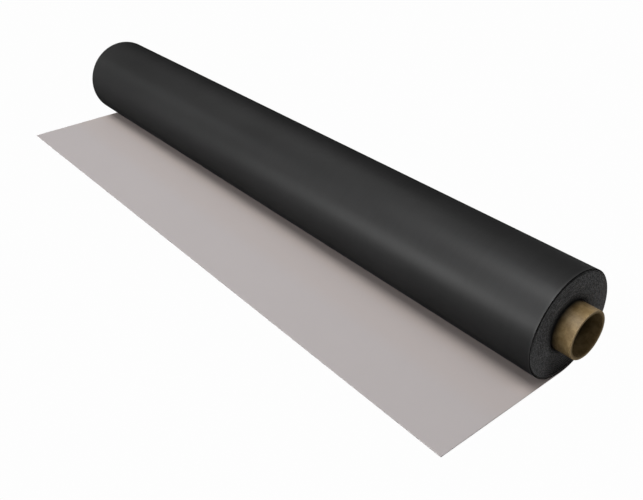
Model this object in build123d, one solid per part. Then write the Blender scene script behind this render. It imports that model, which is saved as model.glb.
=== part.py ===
from build123d import *
import os
from math import acos, cos, pi, sin, sqrt

# Roll of PVC roofing membrane on a cardboard core, with its free end rolled out flat on the floor.
# Millimetres. X runs along the roll, towards the end where the core stands out. The free end lies
# towards -Y and Z is up. The origin is on the floor under the roll's axis, midway along the membrane.

# The sheet
sheet_length = 15000.0
sheet_width = 1500.0
sheet_thickness = 1.5
free_end_length = 281.0  # from the line where the roll leaves the floor to the cut edge

# The core
core_outer_diameter = 88.0
core_wall = 5.9
core_stand_out = 34.4  # past the membrane, at one end only
core_lip = 0.6  # bevel on the tube's four end edges

# How the sheet is wound
core_clearance = 0.3  # between the core and the first turn
winding_air = 0.1  # between one turn and the next
loose_turn_gap = 1.4  # between the wound coil and the outermost turn, which has sprung open
loose_gap_depth = 14.0  # how far in from each end that gap is open
edge_wander = 1.2  # the furthest that a turn's edge sits back from the outermost turn's edge
drift_share = 0.35  # how much of that is a slow drift through the winding, the rest being quick
quick_step = 2.4  # radians that the quick wander moves on with each turn
wedge_gap = 0.3  # height at which the wedge between the roll and the free end closes

# What follows from the sizes above
coil_bore_radius = core_outer_diameter / 2 + core_clearance
core_length = sheet_width + core_stand_out

# The ring that the sheet winds into has the area of its edge, air included, and gives the whole turns.
turn_pitch = sheet_thickness + winding_air
wound_area = (sheet_length - free_end_length) * turn_pitch
all_turns = int((sqrt(coil_bore_radius**2 + wound_area / pi) - coil_bore_radius) / turn_pitch)
tight_turns = all_turns - 1
coil_radius = coil_bore_radius + tight_turns * turn_pitch
outer_turn_inner_radius = coil_radius + loose_turn_gap
roll_radius = outer_turn_inner_radius + sheet_thickness

# The outermost turn is a spiral of two half-turns, each a quarter of a thickness off the mean radius,
# so that it ends one thickness above the floor, on top of the free end.
back_half_radius = roll_radius + sheet_thickness / 4
front_half_radius = roll_radius - sheet_thickness / 4
axis_height = roll_radius + sheet_thickness / 2
roll_axis = Axis((0, 0, axis_height), (1, 0, 0))


def outer_turn_and_free_end():
    """The outline of the outermost turn and the free end, filled and drawn out over the sheet's width."""
    roll_top = 2 * back_half_radius
    front_centre = roll_top - front_half_radius
    wedge_angle = acos(1 - wedge_gap / front_half_radius)
    wedge_end = -front_half_radius * sin(wedge_angle)
    with BuildPart() as block:
        with BuildSketch(Plane.YZ):
            with BuildLine():
                ThreePointArc((0, 0), (back_half_radius, back_half_radius), (0, roll_top))
                ThreePointArc(
                    (0, roll_top),
                    (-front_half_radius, front_centre),
                    (wedge_end, sheet_thickness + wedge_gap),
                )
                Polyline(
                    (wedge_end, sheet_thickness + wedge_gap),
                    (wedge_end, sheet_thickness),
                    (-free_end_length, sheet_thickness),
                    (-free_end_length, 0),
                    (0, 0),
                )
            make_face()
        extrude(amount=sheet_width / 2, both=True)
    return block.part


def edge_setback(turn):
    """How far a turn's edge sits back: a slow drift of the winding with a quick wander on top."""
    drift = (1 - cos(2 * pi * turn / all_turns)) / 2
    quick = (1 + sin(quick_step * turn)) / 2
    return edge_wander * (drift_share * drift + (1 - drift_share) * quick)


def end_turning():
    """The room in front of the coil's turns at the +X end, turned about the roll's axis: one step for
    each turn's edge, and then the deep gap under the outermost turn."""
    outside = sheet_width / 2 + edge_wander
    steps = [(outside, coil_bore_radius)]
    for turn in range(tight_turns):
        edge = sheet_width / 2 - edge_setback(turn)
        inner_radius = coil_bore_radius + turn * turn_pitch
        steps.append((edge, inner_radius))
        steps.append((edge, inner_radius + turn_pitch))
    gap_bottom = sheet_width / 2 - loose_gap_depth
    steps.append((gap_bottom, coil_radius))
    steps.append((gap_bottom, outer_turn_inner_radius))
    steps.append((outside, outer_turn_inner_radius))
    with BuildPart() as room:
        with BuildSketch(Plane.XZ):
            with BuildLine():
                Polyline(*[(x, axis_height + radius) for x, radius in steps], close=True)
            make_face()
        revolve(axis=roll_axis)
    return room.part


def membrane():
    """One continuous sheet: the wound coil with its bore, the outermost turn and the free end."""
    near_end = end_turning()
    far_end = near_end.mirror(Plane.YZ)
    bore = Pos(0, 0, axis_height) * Rot(0, 90, 0) * Cylinder(coil_bore_radius, sheet_width)
    return outer_turn_and_free_end() - bore - near_end - far_end


def core_tube():
    """The wound cardboard tube: level with the membrane at -X, standing out at +X, lips bevelled."""
    tube = Cylinder(core_outer_diameter / 2, core_length)
    tube -= Cylinder(core_outer_diameter / 2 - core_wall, core_length)
    tube = chamfer(tube.edges().filter_by(GeomType.CIRCLE), core_lip)
    return Pos(core_stand_out / 2, 0, axis_height) * Rot(0, 90, 0) * tube


os.makedirs("parts", exist_ok=True)
for node, make in (("membrane", membrane), ("core_tube", core_tube)):
    export_step(make(), f"parts/{node}.step")
print("turns", all_turns, "roll diameter", 2 * roll_radius, "roll height", 2 * back_half_radius)
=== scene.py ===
from math import pi, radians

import bpy
import numpy as np
from mathutils import Matrix, Vector


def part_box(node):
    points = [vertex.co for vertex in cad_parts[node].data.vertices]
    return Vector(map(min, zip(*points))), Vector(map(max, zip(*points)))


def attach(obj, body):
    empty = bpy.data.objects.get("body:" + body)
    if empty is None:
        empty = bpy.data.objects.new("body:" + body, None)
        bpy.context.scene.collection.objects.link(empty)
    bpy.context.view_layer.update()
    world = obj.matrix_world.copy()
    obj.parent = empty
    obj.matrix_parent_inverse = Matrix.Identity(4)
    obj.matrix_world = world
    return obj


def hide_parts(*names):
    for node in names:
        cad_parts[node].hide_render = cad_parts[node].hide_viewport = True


# A roll of PVC roofing membrane on its cardboard core, with the free end rolled out flat on the floor.
# Metres. X runs along the roll towards the end where the core stands out, -Y towards the free end's cut
# edge, and Z up. The sections below follow the object as it is made: the sheet, then the core. The white
# studio, the lamps and the camera come after them.

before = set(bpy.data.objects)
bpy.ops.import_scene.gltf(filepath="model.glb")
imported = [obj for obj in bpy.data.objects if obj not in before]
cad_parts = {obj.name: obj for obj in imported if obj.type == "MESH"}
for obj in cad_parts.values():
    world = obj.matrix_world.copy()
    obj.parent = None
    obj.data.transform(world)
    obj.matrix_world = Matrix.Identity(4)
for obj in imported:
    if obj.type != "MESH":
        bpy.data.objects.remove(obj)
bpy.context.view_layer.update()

# The membrane: one calendered sheet of soft PVC with a woven scrim inside, charcoal outside and light
# grey inside, slit to width by a knife. It is wound tight, its last turn has sprung open a little, and
# from the foot of that turn it runs out flat over the floor to its cut edge.

sheet_length = 15.0
sheet_thickness = 0.0015
knife_corner = 0.00006  # the small bevel that the knife leaves on each edge of the cut
core_clearance = 0.0003  # between the core and the sheet's inner end
loose_turn_gap = 0.0014  # how far the last turn has sprung open from the coil
gap_starts = 0.9  # turns from the foot of the roll at which the coil begins to stand off the last turn
gap_is_full = 1.9  # turns at which it stands off by the whole gap
edge_wander = 0.0007  # the furthest that a turn's edge sits back from the last turn's edge
drift_share = 0.35  # how much of that is a slow drift through the winding, the rest being quick
quick_step = 2.4  # radians that the quick wander moves on with each turn
wander_sets_in = (0.6, 1.6)  # turns from the foot between which the wander grows from nothing
knife_waver = 0.00007  # how far the slit edge wavers, at each of its wavelengths
knife_waves = (0.031, 0.083, 0.21, 0.54)  # those wavelengths, in metres of sheet
knife_seed = 7
waver_sets_in = (0.0, 0.6)  # turns from the foot between which the waver grows from nothing
last_turn_slip = 0.0014  # how far the loose last turn has slipped along the roll, at its top
slip_sets_in = (0.33, 0.48)  # turns from the foot between which it eases out
slip_ends = (0.6, 0.95)  # turns between which it comes back
rows_per_turn = 96
free_end_rows = 40
columns = 7  # faces across the sheet's width, on each side

low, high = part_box("membrane")
core_low, core_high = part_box("core_tube")
half_width = high.x
free_end = -low.y
roll_radius = (high.z - sheet_thickness / 2) / 2
axis_height = roll_radius + sheet_thickness / 2
core_radius = (core_high.y - core_low.y) / 2

# Sheet and air fill the ring between the core and the loose turn, which gives the pitch of the winding.
inner_radius = core_radius + core_clearance
ring_area = pi * (roll_radius**2 - inner_radius**2) - 2 * pi * roll_radius * loose_turn_gap
turn_pitch = ring_area / (sheet_length - free_end)
coil_depth = roll_radius + sheet_thickness / 2 - inner_radius - sheet_thickness - loose_turn_gap
turns = (coil_depth + turn_pitch - sheet_thickness) / turn_pitch


def smooth_step(values, start, end):
    """0 before start, 1 after end, and 3 t squared less 2 t cubed between them."""
    t = np.clip((values - start) / (end - start), 0, 1)
    return t * t * (3 - 2 * t)


def outer_face_radius(turn):
    """Radius of the sheet's outer face, so many turns in from the roll's foot. It shrinks by a thickness
    in the first turn, by the pitch in each later one, and by the gap where the coil leaves the last."""
    first = sheet_thickness * np.minimum(turn, 1)
    later = turn_pitch * np.maximum(turn - 1, 0)
    return axis_height - first - later - loose_turn_gap * smooth_step(turn, gap_starts, gap_is_full)


def edge_setback(turn, along, phases):
    """How far the slit edge sits back: a slow drift of the winding with a quick wander on top, counted
    from the core outwards and nothing on the last turn, and the knife's own waver as a sum of sines."""
    wound = turns - turn
    drift = (1 - np.cos(2 * pi * wound / turns)) / 2
    quick = (1 + np.sin(quick_step * wound)) / 2
    winding = edge_wander * (drift_share * drift + (1 - drift_share) * quick)
    waver = sum(1 - np.cos(2 * pi * along / wave + phase) for wave, phase in zip(knife_waves, phases))
    waver = knife_waver * waver
    return winding * smooth_step(turn, *wander_sets_in) + waver * smooth_step(turn, *waver_sets_in)


def slip(turn):
    """How far the sheet has slipped along the roll: the loose last turn eases out before its top, and
    comes back on the viewer's side, on its way down to the coil."""
    return last_turn_slip * smooth_step(turn, *slip_sets_in) * (1 - smooth_step(turn, *slip_ends))


def sheet_lines():
    """The sheet seen from its edge, from the cut edge of the free end to the core: for each row, where
    the outer face and the inner face are in Y and Z, how many turns in it is, and its length so far."""
    flat_y = np.linspace(-free_end, 0, free_end_rows, endpoint=False)
    turn = np.linspace(0, turns, int(turns * rows_per_turn) + 1)
    angle = 2 * pi * turn
    radius = outer_face_radius(turn)
    faces = []
    for depth in (0, sheet_thickness):
        wound_y = (radius - depth) * np.sin(angle)
        wound_z = axis_height - (radius - depth) * np.cos(angle)
        y = np.concatenate([flat_y, wound_y])
        z = np.concatenate([np.full(free_end_rows, float(depth)), wound_z])
        faces.append(np.stack([y, z], 1))
    middle = (faces[0] + faces[1]) / 2
    step = np.linalg.norm(np.diff(middle, axis=0), axis=1)
    along = np.concatenate([[0], np.cumsum(step)])
    return faces[0], faces[1], np.concatenate([np.zeros(free_end_rows), turn]), along


def ring_across():
    """The sheet's cross-section as a closed ring of points: for each, its share of the width from the
    middle, how far in from the edge it sits, and its share of the thickness from the outer face."""
    corner = knife_corner / sheet_thickness
    share = np.linspace(-1, 1, columns + 1)
    from_edge = np.where(np.abs(share) == 1, knife_corner, 0)
    outer = np.stack([share, from_edge, np.zeros(columns + 1)], 1)
    near_edge = np.array([[1, 0, corner], [1, 0, 1 - corner]])
    inner = np.stack([share[::-1], from_edge[::-1], np.ones(columns + 1)], 1)
    far_edge = np.array([[-1, 0, 1 - corner], [-1, 0, corner]])
    return np.concatenate([outer, near_edge, inner, far_edge])


def grid_object(name, points, join_rows, join_columns):
    """An object whose mesh is a grid of points, rows by columns, with a face between each four. The
    last row joins the first where join_rows says so, and the last column the first where join_columns
    does. A tube whose rows don't join gets a face over each end."""
    grid_shape = points.shape[:2]
    index = np.arange(grid_shape[0] * grid_shape[1]).reshape(grid_shape)
    if join_rows:
        index = np.concatenate([index, index[:1]])
    if join_columns:
        index = np.concatenate([index, index[:, :1]], 1)
    quads = np.stack([index[:-1, :-1], index[:-1, 1:], index[1:, 1:], index[1:, :-1]], -1)
    polygons = quads.reshape(-1, 4).tolist()
    if join_columns and not join_rows:
        polygons += [index[0, :0:-1].tolist(), index[-1, 1:].tolist()]
    mesh = bpy.data.meshes.new(name)
    mesh.from_pydata(points.reshape(-1, 3).tolist(), [], polygons)
    made = bpy.data.objects.new(name, mesh)
    bpy.context.scene.collection.objects.link(made)
    return made


outer_line, inner_line, row_turn, row_along = sheet_lines()
ring_share, ring_inset, ring_depth = ring_across().T
phases = np.random.default_rng(knife_seed).uniform(0, 2 * pi, (2, len(knife_waves)))
near_setback, far_setback = [edge_setback(row_turn, row_along, edge)[:, None] for edge in phases]
setback = np.where(ring_share > 0, near_setback, far_setback)
across = ring_share * (half_width - setback) - np.sign(ring_share) * ring_inset + slip(row_turn)[:, None]
yz = outer_line[:, None] + (inner_line - outer_line)[:, None] * ring_depth[None, :, None]
sheet_points = np.concatenate([across[:, :, None], yz], 2)
membrane_sheet = grid_object("membrane_sheet", sheet_points, join_rows=False, join_columns=True)
sheet_mesh = membrane_sheet.data


class Signal:
    """A value on its way through a finish. Each operator adds the Math node that it stands for."""

    def __init__(self, finish, socket):
        self.finish = finish
        self.socket = socket

    def math(self, operation, first, second=0.0):
        """A step of arithmetic on two values."""
        return self.finish.add("ShaderNodeMath", {"operation": operation}, {0: first, 1: second})

    def __add__(self, other):
        return self.math("ADD", self, other)

    def __radd__(self, other):
        return self.math("ADD", other, self)

    def __sub__(self, other):
        return self.math("SUBTRACT", self, other)

    def __rsub__(self, other):
        return self.math("SUBTRACT", other, self)

    def __mul__(self, other):
        return self.math("MULTIPLY", self, other)

    def __rmul__(self, other):
        return self.math("MULTIPLY", other, self)

    def __truediv__(self, other):
        return self.math("DIVIDE", self, other)

    def __gt__(self, other):
        return self.math("GREATER_THAN", self, other)

    def __lt__(self, other):
        return self.math("LESS_THAN", self, other)


class Finish:
    """One material while it is being made: its shader, and what feeds the shader."""

    def __init__(self, name):
        self.material = bpy.data.materials.new(name)
        self.material.use_nodes = True
        self.tree = self.material.node_tree
        self.shader = self.tree.nodes["Principled BSDF"]

    def add(self, kind, settings, inputs, output=0):
        """Adds a node of that kind: its settings first, a ramp's stops among them, then the values or
        links of its sockets. Gives one of its outputs as a Signal."""
        node = self.tree.nodes.new(kind)
        for name, value in settings.items():
            if name == "stops":
                self.set_stops(node.color_ramp, value)
            else:
                setattr(node, name, value)
        for name, value in inputs.items():
            if isinstance(value, Signal):
                self.tree.links.new(value.socket, node.inputs[name])
            else:
                node.inputs[name].default_value = value
        return Signal(self, node.outputs[output])

    def set_stops(self, ramp, stops):
        """Gives a ramp these stops, each a place from 0 to 1 and a grey."""
        while len(ramp.elements) < len(stops):
            ramp.elements.new(1.0)
        for element, (place, grey) in zip(ramp.elements, stops):
            element.position = place
            element.color = (grey, grey, grey, 1)

    def place(self, scale=(1, 1, 1), turn=(0, 0, 0)):
        """Object coordinates in metres, stretched and turned."""
        spot = self.add("ShaderNodeTexCoord", {}, {}, "Object")
        return self.add("ShaderNodeMapping", {}, {"Vector": spot, "Scale": scale, "Rotation": turn})

    def on_sheet(self):
        """The sheet's own map: metres across it, and metres along it from the cut edge."""
        return self.add("ShaderNodeUVMap", {"uv_map": "sheet"}, {})

    def attribute(self, name):
        """A value that the mesh's points carry."""
        return self.add("ShaderNodeAttribute", {"attribute_name": name}, {}, "Fac")

    def part(self, vector, axis):
        """One number of a vector: 0 for its X, 1 for its Y and 2 for its Z."""
        return self.add("ShaderNodeSeparateXYZ", {}, {0: vector}, axis)

    def vector_math(self, operation, first, second, output="Value"):
        """A step of arithmetic on two vectors."""
        return self.add("ShaderNodeVectorMath", {"operation": operation}, {0: first, 1: second}, output)

    def sine(self, value):
        """The sine of a value in radians."""
        return self.add("ShaderNodeMath", {"operation": "SINE"}, {0: value})

    def noise(self, vector, scale, detail, roughness):
        """Soft noise around 0.5, with so many bumps to the metre."""
        sizes = {"Vector": vector, "Scale": scale, "Detail": detail, "Roughness": roughness}
        return self.add("ShaderNodeTexNoise", {}, sizes)

    def ramp(self, value, *stops):
        """A value taken through a ramp of greys. Each stop is a value and the grey that it gives. Past
        the first and the last of them the grey stays the same."""
        first, last = stops[0][0], stops[-1][0]
        places = [((spot - first) / (last - first), grey) for spot, grey in stops]
        return self.add("ShaderNodeValToRGB", {"stops": places}, {0: (value - first) / (last - first)})

    def mix(self, share, first, second):
        """The first colour where the share is 0, the second where it is 1."""
        blend = {0: share, 6: first, 7: second}
        return self.add("ShaderNodeMix", {"data_type": "RGBA"}, blend, 2)

    def bump(self, value, height, below=None):
        """A relief that is so many metres high where the value is 1, on top of another one."""
        inputs = {"Height": value, "Distance": height, "Strength": 1.0}
        if below:
            inputs["Normal"] = below
        return self.add("ShaderNodeBump", {}, inputs)

    def feed(self, **inputs):
        """Feeds the shader: a Signal is linked and a number or colour is set on the socket itself."""
        for name, value in inputs.items():
            socket = self.shader.inputs[name.replace("_", " ")]
            if isinstance(value, Signal):
                self.tree.links.new(value.socket, socket)
            else:
                socket.default_value = value
        return self.material


def charcoal_face():
    """The outside: charcoal PVC with the calender's fine emboss, faint streaks along its length where
    the rollers drew it out, a soft blotchiness in its gloss and a pale strip by its near edge, which is
    a painted highlight where that edge catches the light."""
    charcoal = (0.0238, 0.0238, 0.0239, 1)
    worn = (0.0308, 0.0308, 0.0309, 1)
    edge_highlight = (0.042, 0.042, 0.0421, 1)
    emboss_height = 0.00004
    streaks = (260.0, 2.0, 1.0)  # to the metre, across the sheet and along it
    finish = Finish("charcoal_face")
    around = finish.place()
    grain = finish.noise(around, 1100.0, detail=2.0, roughness=0.6)
    blotch = finish.noise(around, 7.0, detail=3.0, roughness=0.55)
    sheet_spot = finish.on_sheet()
    drawn = finish.add("ShaderNodeMapping", {}, {"Vector": sheet_spot, "Scale": streaks})
    streak = finish.noise(drawn, 1.0, detail=2.0, roughness=0.6)
    wear = finish.ramp(0.6 * blotch + 0.4 * streak, (0.35, 0.0), (0.75, 1.0))
    colour = finish.mix(wear, charcoal, worn)
    # The pale strip within a few millimetres of the near edge is a painted highlight.
    past_edge = finish.part(sheet_spot, 0) - half_width
    highlight_share = finish.ramp(past_edge, (-0.0039, 0.0), (0.0, 1.0))
    colour = finish.mix(highlight_share, colour, edge_highlight)
    roughness = 0.37 + 0.1 * blotch + 0.04 * streak
    relief = finish.bump(grain, emboss_height)
    return finish.feed(Base_Color=colour, Roughness=roughness, Normal=relief, Specular_IOR_Level=0.3)


def grey_face():
    """The inside: warm light grey PVC, dull, with the scrim's threads just telling through it, and a
    little browner towards the roll's foot, which is a painted warm tint of the roll's shadow there."""
    grey = (0.583, 0.539, 0.537, 1)
    pale = (0.603, 0.559, 0.557, 1)
    brown = (0.60, 0.527, 0.50, 1)
    grain_height = 0.00003
    thread_height = 0.00001
    thread_pitch = 0.0028
    finish = Finish("grey_face")
    around = finish.place()
    grain = finish.noise(around, 900.0, detail=2.0, roughness=0.6)
    blotch = finish.noise(around, 11.0, detail=4.0, roughness=0.6)
    sheet_spot = finish.on_sheet()
    across = finish.part(sheet_spot, 0)
    along = finish.part(sheet_spot, 1)
    across_threads = finish.sine(across * (2 * pi / thread_pitch))
    along_threads = finish.sine(along * (2 * pi / thread_pitch))
    scrim = across_threads.math("MAXIMUM", across_threads, along_threads)
    colour = finish.mix(blotch, grey, pale)
    # Browner towards the roll's foot: a painted warm tint of the roll's shadow.
    warm_shade_tint = finish.ramp(along, (0.1, 0.0), (0.14, 0.45), (0.18, 0.5), (0.2, 1.0))
    colour = finish.mix(warm_shade_tint, colour, brown)
    relief = finish.bump(grain, grain_height)
    relief = finish.bump(scrim, thread_height, below=relief)
    return finish.feed(Base_Color=colour, Roughness=0.75, Normal=relief, Specular_IOR_Level=0.3)


def cut_edge():
    """The knife's cut, which changes along the sheet. Along the free end it is as pale as the inside. On
    the last turn it is black, painted shade along the rim, and so are the turns that it has slipped past
    near the top, painted shade beside it. The others are mottled in fine flecks, with painted shade
    against the core, most of all above it, and the core's painted shadow near the floor from below the
    core to the back."""
    painted_shade = (0.004, 0.004, 0.004, 1)
    dark = (0.085, 0.0855, 0.087, 1)
    fleck = (0.28, 0.281, 0.285, 1)
    grey = (0.41, 0.405, 0.405, 1)
    pale = (0.72, 0.67, 0.665, 1)
    tear_height = 0.0001
    up_and_forward = (0, -0.6, 0.8)  # the direction in which the turns show darkest above the core
    finish = Finish("cut_edge")
    around = finish.place()
    through = finish.attribute("through")
    tear = finish.noise(around, 1400.0, detail=3.0, roughness=0.65)
    mottle = finish.noise(around, 380.0, detail=3.0, roughness=0.7)
    flecks = finish.ramp(mottle, (0.4, 0.0), (0.62, 1.0))
    inner_layer = finish.ramp(through + 0.25 * (tear - 0.5), (0.84, 0.0), (0.9, 1.0))
    colour = finish.mix(flecks, dark, fleck)
    colour = finish.mix(0.5 * inner_layer * flecks, colour, grey)
    along = finish.part(finish.on_sheet(), 1)
    # Painted shade on the turns against the core, reaching wider above it.
    shade_by_core = finish.ramp(along, (13.1, 0.0), (14.9, 0.75))
    round_core = finish.ramp(along, (11.7, 0.0), (14.9, 0.75))
    # The core's painted shadow, on the turns near the floor from below the core to the back.
    near_floor = finish.ramp(finish.part(around, 2), (0.01, 0.8), (0.03, 0.4), (0.05, 0.3), (0.065, 0.0))
    towards_back = finish.ramp(finish.part(around, 1), (-0.066, 0.0), (-0.032, 1.0))
    in_end = finish.vector_math("MULTIPLY", around, (0, 1, 1), "Vector")
    from_axis = finish.vector_math("DISTANCE", in_end, (0, 0, axis_height))
    # Painted shade on the turns beside the loose last turn near the top, where that turn stands proud.
    slipped_past = finish.ramp(from_axis, (0.0894, 0.0), (0.091, 0.85))
    up_front = finish.vector_math("DOT_PRODUCT", around, up_and_forward)
    past_axis = up_front - up_and_forward[2] * axis_height
    near_top = finish.ramp(past_axis, (0.042, 0.0), (0.082, 1.0))
    above_core = finish.ramp(past_axis, (0.015, 0.0), (0.04, 1.0))
    # The last turn's edge is painted black: painted shade along the rim.
    last_turn = finish.ramp(along, (0.74, 1.0), (0.77, 0.84), (0.88, 0.84), (0.93, 0.0))
    above = round_core * above_core
    below = near_floor * towards_back
    for share in (shade_by_core, above, below, slipped_past * near_top, last_turn):
        colour = finish.mix(share, colour, painted_shade)
    past_foot = finish.ramp(along, (free_end + 0.009, 0.0), (free_end + 0.029, 1.0))
    colour = finish.mix(past_foot, pale, colour)
    relief = finish.bump(tear, tear_height)
    return finish.feed(Base_Color=colour, Roughness=0.7, Normal=relief, Specular_IOR_Level=0.06)


def loop_values(mesh, point_values):
    """Values of the mesh's points, repeated for each face corner that uses the point."""
    corner_points = np.empty(len(mesh.loops), np.int32)
    mesh.loops.foreach_get("vertex_index", corner_points)
    return point_values[corner_points]


# The sheet's own map: metres across it and metres along it from the cut edge, and how far through it.
sheet_map = np.stack([across, np.repeat(row_along[:, None], len(ring_share), 1)], 2).reshape(-1, 2)
sheet_uv = sheet_mesh.uv_layers.new(name="sheet")
sheet_uv.data.foreach_set("uv", loop_values(sheet_mesh, sheet_map).astype(np.float32).ravel())
through = sheet_mesh.attributes.new("through", "FLOAT", "POINT")
through.data.foreach_set("value", np.tile(ring_depth, len(row_along)).astype(np.float32))

# Which finish each face has: the ring's faces in order on every row, and last the sheet's two ends.
outside, inside, cut = 0, 1, 2
edge_faces = 3  # the cut and the bevel on each side of it
ring_finish = [outside] * columns + [cut] * edge_faces + [inside] * columns + [cut] * edge_faces
face_finish = np.concatenate([np.tile(ring_finish, len(row_along) - 1), [cut, cut]]).astype(np.int32)
for finish in (charcoal_face(), grey_face(), cut_edge()):
    sheet_mesh.materials.append(finish)
sheet_mesh.polygons.foreach_set("material_index", face_finish)
sheet_mesh.shade_smooth()
sheet_mesh.set_sharp_from_angle(angle=radians(30))
sheet_mesh.update()

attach(membrane_sheet, "root")
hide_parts("membrane")

# The core: a tube of kraft paper plies, wound on a slant, glued and sawn to length. The sheet's inner
# end lies against it. It is level with the membrane at one end and stands out at the other.

core_wall = 0.0059
lip = 0.0007  # the rounding that handling gives the tube's ends
saw_waver = 0.0001  # how far the saw cut wavers, in its longest wave
saw_waves = ((2, 1.0, 0.7), (5, 0.5, 0.0), (11, 0.25, 0.0))  # how many to the turn, share, phase
waver_reach = 0.004  # how far from the sawn end the waver dies out
ovality = 0.00012  # how far the tube is out of round
oval_twist = 9.0  # radians that its oval turns in each metre
ply_count = 6
around_core = 160
lip_faces = 4
hidden_rows = 24
shown_rows = 28
shown_from = half_width - 0.01  # from here to the sawn end the rows lie closer


def core_profile():
    """The tube's wall cut along its length, as a closed ring of points: X, and the share of the wall
    from the bore outwards. Its corners are quarter rounds."""
    hidden = np.linspace(core_low.x + lip, shown_from, hidden_rows, endpoint=False)
    shown = np.linspace(shown_from, core_high.x - lip, shown_rows)
    run = np.concatenate([hidden, shown])
    outer = np.stack([run, np.ones(len(run))], 1)
    turned = np.radians(np.linspace(0, 90, lip_faces + 1))[1:-1]
    corner_x = core_high.x - lip * (1 - np.sin(turned))
    corner = np.stack([corner_x, 1 - lip / core_wall * (1 - np.cos(turned))], 1)
    face_top = [[core_high.x, 1 - lip / core_wall], [core_high.x, 0.5]]
    near_side = np.concatenate([outer, corner, face_top])
    mirrored = near_side[::-1] * (1, -1) + (0, 1)
    near_half = np.concatenate([near_side, mirrored[1:]])
    # The far end mirrors the near one. Its points where the lips begin are in the runs already.
    almost_lip = 0.999 * lip
    far_x = core_low.x + (core_high.x - near_half[:, 0])
    far_half = np.stack([far_x, near_half[:, 1]], 1)[::-1]
    far_end = far_half[far_x[::-1] < core_low.x + almost_lip]
    return np.concatenate([near_half, far_end[np.argsort(far_end[:, 1])]])


profile_x, wall_share = core_profile().T
core_angle = np.linspace(0, 2 * pi, around_core, endpoint=False)[:, None]
end_share = smooth_step(profile_x, core_high.x - waver_reach, core_high.x)
waves = [share * (np.sin(count * core_angle + phase) - 1) for count, share, phase in saw_waves]
waver = saw_waver * sum(waves)
oval = ovality * (np.sin(2 * core_angle + oval_twist * profile_x) - 1)
radius = core_radius - core_wall * (1 - wall_share) + oval
core_x = profile_x + waver * end_share
core_y = radius * np.sin(core_angle)
core_z = axis_height - radius * np.cos(core_angle)
core_tube_card = grid_object(
    "core_tube_card", np.stack([core_x, core_y, core_z], 2), join_rows=True, join_columns=True
)
core_mesh = core_tube_card.data
wall = core_mesh.attributes.new("wall", "FLOAT", "POINT")
wall.data.foreach_set("value", np.tile(wall_share, around_core).astype(np.float32))


def kraft_card():
    """Kraft card: brown paper plies with a mottle of longer fibres and a slight sheen from the winding.
    It is dark where it leaves the roll, which is painted shade at its root, and darker down the bore,
    which is painted shade too. The sawn end is pale, palest at its outer lip, with the glue between
    the plies as fine dark lines that break up here and there."""
    brown = (0.232, 0.149, 0.054, 1)
    pale = (0.44, 0.311, 0.151, 1)
    dark = (0.09, 0.055, 0.022, 1)
    painted_shade = (0.02, 0.018, 0.015, 1)
    shaded = (0.05, 0.033, 0.012, 1)
    sawn = (0.34, 0.242, 0.116, 1)
    sawn_outer = (0.78, 0.575, 0.315, 1)
    glue = (0.10, 0.065, 0.028, 1)
    fibre_height = 0.00008
    mottle_height = 0.0002
    fibres = (300.0, 1500.0, 1500.0)  # to the metre, along them and across them
    winding_slant = 0.5  # radians
    bore_skin = 0.03  # the share of the wall that counts as the bore's own surface
    plies_from, plies_to = 0.13, 0.98  # the shares of the wall between which the sawn plies show
    finish = Finish("kraft_card")
    around = finish.place()
    mottle = finish.noise(around, 90.0, detail=5.0, roughness=0.7)
    slanted = finish.place(scale=fibres, turn=(0, 0, winding_slant))
    fibre = finish.noise(slanted, 1.0, detail=3.0, roughness=0.6)
    colour = finish.mix(finish.ramp(mottle, (0.35, 0.0), (0.65, 1.0)), brown, pale)
    colour = finish.mix(0.35 * finish.ramp(fibre, (0.45, 0.0), (0.8, 1.0)), colour, dark)
    out_of_roll = finish.part(around, 0) - half_width
    # Painted shade at the root, where the tube leaves the roll.
    past_root_shade = finish.ramp(out_of_roll, (0.0, 0.0), (0.0039, 0.48), (0.0078, 0.81), (0.0117, 1.0))
    colour = finish.mix(past_root_shade, painted_shade, colour)
    wall = finish.attribute("wall")
    in_bore = wall < bore_skin
    on_sawn_end = (wall > plies_from) * (wall < plies_to)
    # Painted shade down the bore, fading towards the sawn end.
    lit = finish.ramp(out_of_roll, (-0.01, 0.0), (0.034, 1.0))
    colour = finish.mix(in_bore * (1.0 - lit), colour, shaded)
    end_grain = finish.mix(finish.ramp(wall, (0.2, 0.0), (0.9, 1.0)), sawn, sawn_outer)
    plies = finish.sine(wall * (2 * pi * ply_count))
    glue_lines = finish.ramp(plies + 0.6 * (mottle - 0.5), (0.65, 0.0), (0.95, 0.55))
    end_grain = finish.mix(glue_lines, end_grain, glue)
    colour = finish.mix(on_sawn_end, colour, end_grain)
    relief = finish.bump(fibre, fibre_height)
    relief = finish.bump(mottle, mottle_height, below=relief)
    return finish.feed(Base_Color=colour, Roughness=0.5, Normal=relief, Specular_IOR_Level=0.5)


core_mesh.materials.append(kraft_card())
core_mesh.shade_smooth()
core_mesh.set_sharp_from_angle(angle=radians(50))
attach(core_tube_card, "root")
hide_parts("core_tube")

# The studio: a plain white floor that curves up into a white backdrop, both lit so evenly that they
# show no shadow. They are seen by the camera alone, and the lamps below do the lighting.

floor_radius = 9.0
cove_radius = 6.0
dome_height = 20.0
white = 0.985  # how bright the camera sees them
cove_rows = 24
around_studio = 96

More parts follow.
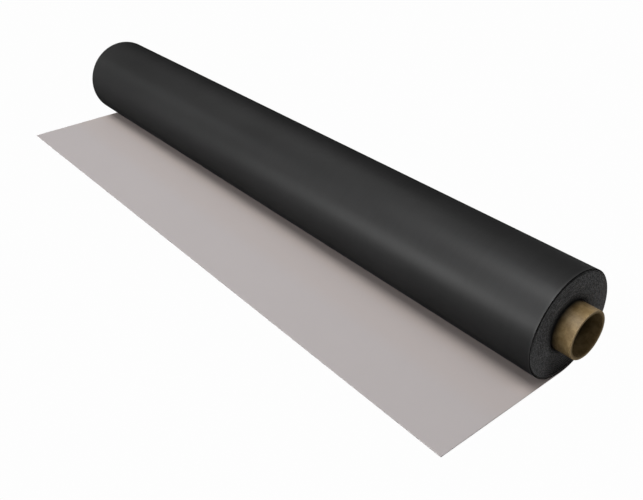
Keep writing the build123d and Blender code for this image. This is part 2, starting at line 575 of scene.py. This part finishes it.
cove = np.radians(np.linspace(0, 90, cove_rows))
cove_reach = floor_radius + cove_radius * np.sin(cove)
wall_reach = floor_radius + cove_radius
reach = np.concatenate([[0], cove_reach, [wall_reach, 0]])
height = np.concatenate([[0], cove_radius * (1 - np.cos(cove)), [dome_height, dome_height]])
heading = np.linspace(0, 2 * pi, around_studio, endpoint=False)[:, None]
studio_points = np.stack([reach * np.cos(heading), reach * np.sin(heading), height + 0 * heading], 2)
studio = grid_object("studio", studio_points, join_rows=True, join_columns=False)
studio_white = Finish("studio_white").feed(
    Base_Color=(0, 0, 0, 1), Emission_Color=(1, 1, 1, 1), Emission_Strength=white, Specular_IOR_Level=0.0
)
studio.data.materials.append(studio_white)
studio.visible_diffuse = False
studio.visible_glossy = False
studio.visible_shadow = False

# The lamps: a wide softbox overhead, a smaller one before it and a low one in front of the free end do
# most of the work. Weak fills stand high and low at the right, at the left, high at the left and low
# behind. The floor's own light comes from below.

floor_glow = 0.24  # how strong the floor's own light is
aim = Vector((0, -0.05, 0.1))  # every lamp points here, and stands as far off as its "off" says
lamps = {
    "overhead": {"off": (-0.6, -2.14, 5.57), "size": (2.8, 2.4), "watts": 208.0},
    "overhead_front": {"off": (-1.08, -4.65, 3.63), "size": (1.8, 1.6), "watts": 52.0},
    "front": {"off": (-2.4, -5.42, 0.91), "size": (2.6, 1.7), "watts": 123.0},
    "right": {"off": (3.6, 0.0, 4.8), "size": (1.4, 1.4), "watts": 30.0},
    "right_low": {"off": (5.28, -2.84, 0.2), "size": (1.2, 1.2), "watts": 15.0},
    "left": {"off": (-4.56, -2.66, 2.85), "size": (1.2, 1.2), "watts": 10.0},
    "left_high": {"off": (-3.7, 1.5, 4.5), "size": (3.0, 1.6), "watts": 18.0},
    "back": {"off": (0.6, 5.0, 0.5), "size": (3.0, 1.0), "watts": 22.0},
}
for name, lamp in lamps.items():
    light = bpy.data.lights.new(name, "AREA")
    light.shape = "RECTANGLE"
    light.size, light.size_y = lamp["size"]
    light.energy = lamp["watts"]
    fixture = bpy.data.objects.new(name, light)
    fixture.location = aim + Vector(lamp["off"])
    fixture.rotation_euler = Vector(lamp["off"]).to_track_quat("Z", "Y").to_euler()
    bpy.context.scene.collection.objects.link(fixture)

ambient = bpy.data.worlds.new("ambient")
ambient.use_nodes = True
nodes, links = ambient.node_tree.nodes, ambient.node_tree.links
direction = nodes.new("ShaderNodeTexCoord")
direction_parts = nodes.new("ShaderNodeSeparateXYZ")
from_below = nodes.new("ShaderNodeMath")
from_below.operation = "LESS_THAN"
from_below.inputs[1].default_value = 0.0
floor_light = nodes.new("ShaderNodeMath")
floor_light.operation = "MULTIPLY"
floor_light.inputs[1].default_value = floor_glow
background = nodes["Background"]
background.inputs["Color"].default_value = (1, 1, 1, 1)
links.new(direction.outputs["Generated"], direction_parts.inputs[0])
links.new(direction_parts.outputs[2], from_below.inputs[0])
links.new(from_below.outputs[0], floor_light.inputs[0])
links.new(floor_light.outputs[0], background.inputs["Strength"])
bpy.context.scene.world = ambient

# The surfaces reflect the lamps but not each other, as dull PVC does at a glance, and not the floor's
# light, which would draw a bright line along the roll's outline.
ambient.cycles_visibility.glossy = False
bpy.context.scene.cycles.glossy_bounces = 0

# The camera stands off the near end, above the free end, and looks down at the roll.

camera_spot = (1.2589, -0.8991, 0.8613)
camera_lens = 43.44
sensor_width = 36.0
look_down = 32.575  # degrees below the horizon
look_left = 51.453  # degrees that it is turned from looking along +Y
lean = -1.233  # degrees that it is turned about its own line of sight
camera_data = bpy.data.cameras.new("camera")
camera_data.lens = camera_lens
camera_data.sensor_width = sensor_width
camera = bpy.data.objects.new("camera", camera_data)
camera.location = camera_spot
turned = Matrix.Rotation(radians(look_left), 3, "Z") @ Matrix.Rotation(radians(90 - look_down), 3, "X")
camera.rotation_euler = (turned @ Matrix.Rotation(radians(lean), 3, "Z")).to_euler()
bpy.context.scene.collection.objects.link(camera)
bpy.context.scene.camera = camera
bpy.context.scene.view_settings.view_transform = "Standard"
